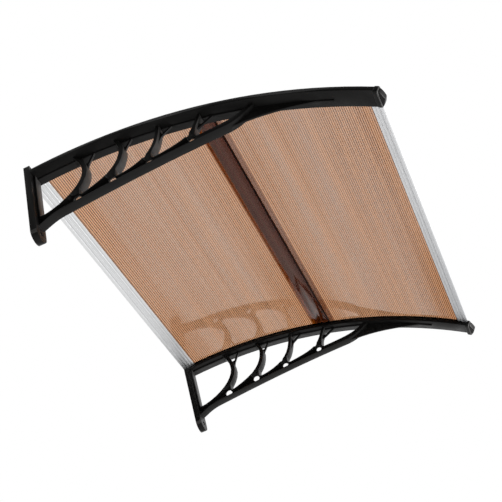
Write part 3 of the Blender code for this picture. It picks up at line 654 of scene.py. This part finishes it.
# Each ring is a superellipse: half size times the sign of the cosine (sine) times its size to the power
# 2 / squareness. Along the nose the half width falls by the way out to the power pointed, and the half
# height by thinned times the way out to the fourth power. Faces on litRing get painted light, a highlight
# line
def endCap(name, side):
    turn = np.linspace(0.0, 2 * math.pi, capShape["around"], endpoint=False)
    power = 2.0 / capShape["squareness"]
    wide = np.sign(np.cos(turn)) * np.abs(np.cos(turn)) ** power
    high = np.sign(np.sin(turn)) * np.abs(np.sin(turn)) ** power
    out = np.linspace(0.0, capShape["noseEnd"], capShape["noseSteps"])
    nose = np.stack([capShape["noseStart"] + capShape["noseReach"] * out,
                     capShape["noseHalf"] * (1.0 - out ** capShape["pointed"]),
                     capShape["noseHeight"] * (1.0 - capShape["thinned"] * out ** 4)], -1)
    ahead, halfWide, halfHigh = np.concatenate([np.array(capShape["collar"]), nose]).T
    x = side * (arc["bracketAt"] + capShape["outward"] + halfWide[:, None] * wide)
    level = arc["radius"] + capShape["level"] + halfHigh[:, None] * high
    end = arc["barEnd"]
    y = arc["apexY"] - level * math.sin(end) - ahead[:, None] * math.cos(end)
    z = arc["centreZ"] + level * math.cos(end) - ahead[:, None] * math.sin(end)
    piece = skinned(name + "_fine", np.stack([x, y, z], -1), capShape["sharp"])
    centres = faceRows(piece.data, "center")
    reached = ((arc["apexY"] - centres[:, 1]) * math.cos(end)
               + (arc["centreZ"] - centres[:, 2]) * math.sin(end))
    low, high = capShape["litRing"]
    # painted highlight: faces on the ring get painted light
    setPaintedLight(piece.data, (reached > low) & (reached < high))
    return piece


for side, word in ((-1, "left"), (1, "right")):
    stand(endCap("end_cap_" + word, side), "end_cap_" + word, paintedLightPlastic)


# Rings of a screw are (height above the rebate's floor, radius); the slot is one cross on its top
screwShape = {
    "rings": ((-0.0045, 0.0008), (-0.0035, 0.0021), (0.0069, 0.0021), (0.0069, 0.0046), (0.0070, 0.0049),
              (0.0074, 0.0050), (0.0078, 0.0049), (0.0079, 0.0046), (0.00795, 0.0038), (0.0083, 0.0036),
              (0.0089, 0.0033), (0.0093, 0.0027), (0.0095, 0.0020), (0.0095, 0.0016), (0.0095, 0.0012),
              (0.0095, 0.0008), (0.0095, 0.0004)),
    "around": 48,
    "topFrom": 0.0094,
    "slotHalf": 0.00045,
    "slotReach": 0.0019,
    "slotDepth": 0.0012,
    "sharp": 35.0,
}


# A screw in the place of its solid, whose box gives the axis: round rings about it, with the points on top
# sunk where they lie within half a slot's width of either arm of the cross
def screw(name):
    mesh = nodes[name].data
    found = np.empty(len(mesh.vertices) * 3)
    mesh.vertices.foreach_get("co", found)
    found = found.reshape(-1, 3)
    middle = found.min(axis=0) / 2 + found.max(axis=0) / 2
    tilt = math.atan2(arc["apexY"] - middle[1], middle[2] - arc["centreZ"])
    above, radius = np.array(screwShape["rings"]).T[:, :, None]
    turn = np.linspace(0.0, 2 * math.pi, screwShape["around"], endpoint=False)
    across, along = radius * np.cos(turn), radius * np.sin(turn)
    arm = np.minimum(np.abs(across), np.abs(along)) < screwShape["slotHalf"]
    top = (above > screwShape["topFrom"]) & (radius < screwShape["slotReach"])
    reach = arc["radius"] + above - screwShape["slotDepth"] * (arm & top)
    y = arc["apexY"] - reach * math.sin(tilt) - along * math.cos(tilt)
    z = arc["centreZ"] + reach * math.cos(tilt) - along * math.sin(tilt)
    return skinned(name + "_fine", np.stack([middle[0] + across, y, z], -1), screwShape["sharp"])


for name in slots:
    if name.startswith("strip_screw"):
        stand(screw(name), name)
print("canopy: caps and screws made")


studio = {
    "cameraAt": (-2.0117, -0.7420, -1.9520),
    "right": (0.36133, -0.90582, -0.22121),
    "up": (-0.58297, -0.40461, 0.70458),
    "lens": 73.2,
    "sensor": 36.0,
    "clipEnd": 60.0,
    "floorLevel": -3.2,
    "floorHalf": 14.0,
    "floorColours": ((0.86, 0.86, 0.85), (0.88, 0.88, 0.87)),
    "floorCloud": 0.5,
    "floorRoughness": 0.9,
    "sideLight": {"From Min": -0.8, "From Max": 0.1, "To Min": 0.04, "To Max": 1.0},
    "frontBox": {"place": (0.7, -3.4, -1.45), "towards": (0.0, -0.4, -0.1),
                 "size": (1.6, 0.8), "power": 130.0},
    "clearBounces": 32,
    "bounces": 8,
}


# The camera's axes are made square to each other: up is squared to right
def makeCamera():
    right = Vector(studio["right"]).normalized()
    back = right.cross(Vector(studio["up"])).normalized()
    axes = Matrix((right, back.cross(right), back)).transposed()
    camera = bpy.data.objects.new("camera", bpy.data.cameras.new("camera"))
    camera.data.lens = studio["lens"]
    camera.data.sensor_width = studio["sensor"]
    camera.data.clip_end = studio["clipEnd"]
    camera.matrix_world = Matrix.Translation(studio["cameraAt"]) @ axes.to_4x4()
    bpy.context.scene.collection.objects.link(camera)
    bpy.context.scene.camera = camera


def makeFloor():
    half, level = studio["floorHalf"], studio["floorLevel"]
    mesh = bpy.data.meshes.new("floor")
    corners = [(-half, -half, level), (half, -half, level), (half, half, level), (-half, half, level)]
    mesh.from_pydata(corners, [], [(0, 1, 2, 3)])
    floor = bpy.data.objects.new("floor", mesh)
    bpy.context.scene.collection.objects.link(floor)
    paint = Paint("paleFloor", Roughness=studio["floorRoughness"])
    paint.set("Base Color", paint.blend(paint.noise(studio["floorCloud"]), *studio["floorColours"]))
    mesh.materials.append(paint.material)


# The sky is plain white to the camera; as light it is dim on the camera's side and bright on the others
def makeWorld():
    world = bpy.data.worlds.new("studio")
    world.use_nodes = True
    tree = world.node_tree
    paths = tree.nodes.new("ShaderNodeLightPath")
    room = tree.nodes["Background"]
    sky = tree.nodes.new("ShaderNodeBackground")
    mix = tree.nodes.new("ShaderNodeMixShader")
    where = tree.nodes.new("ShaderNodeTexCoord")
    split = tree.nodes.new("ShaderNodeSeparateXYZ")
    ramp = tree.nodes.new("ShaderNodeMapRange")
    for name, value in studio["sideLight"].items():
        ramp.inputs[name].default_value = value
    for shader in (room, sky):
        shader.inputs["Color"].default_value = (1.0, 1.0, 1.0, 1.0)
    tree.links.new(where.outputs["Generated"], split.inputs["Vector"])
    tree.links.new(split.outputs["X"], ramp.inputs["Value"])
    tree.links.new(ramp.outputs["Result"], room.inputs["Strength"])
    tree.links.new(paths.outputs["Is Camera Ray"], mix.inputs["Fac"])
    tree.links.new(room.outputs["Background"], mix.inputs[1])
    tree.links.new(sky.outputs["Background"], mix.inputs[2])
    tree.links.new(mix.outputs["Shader"], tree.nodes["World Output"].inputs["Surface"])
    bpy.context.scene.world = world


def makeSoftBox(name):
    box = studio[name]
    light = bpy.data.lights.new(name, "AREA")
    light.shape = "RECTANGLE"
    light.size, light.size_y = box["size"]
    light.energy = box["power"]
    lamp = bpy.data.objects.new(name, light)
    lamp.location = box["place"]
    lamp.rotation_mode = "QUATERNION"
    lamp.rotation_quaternion = (Vector(box["towards"]) - Vector(box["place"])).to_track_quat("-Z", "Y")
    bpy.context.scene.collection.objects.link(lamp)


makeCamera()
makeFloor()
makeWorld()
makeSoftBox("frontBox")
scene = bpy.context.scene
scene.view_settings.view_transform = "Standard"
scene.cycles.transparent_max_bounces = studio["clearBounces"]
scene.cycles.max_bounces = studio["bounces"]
print("canopy: studio made")
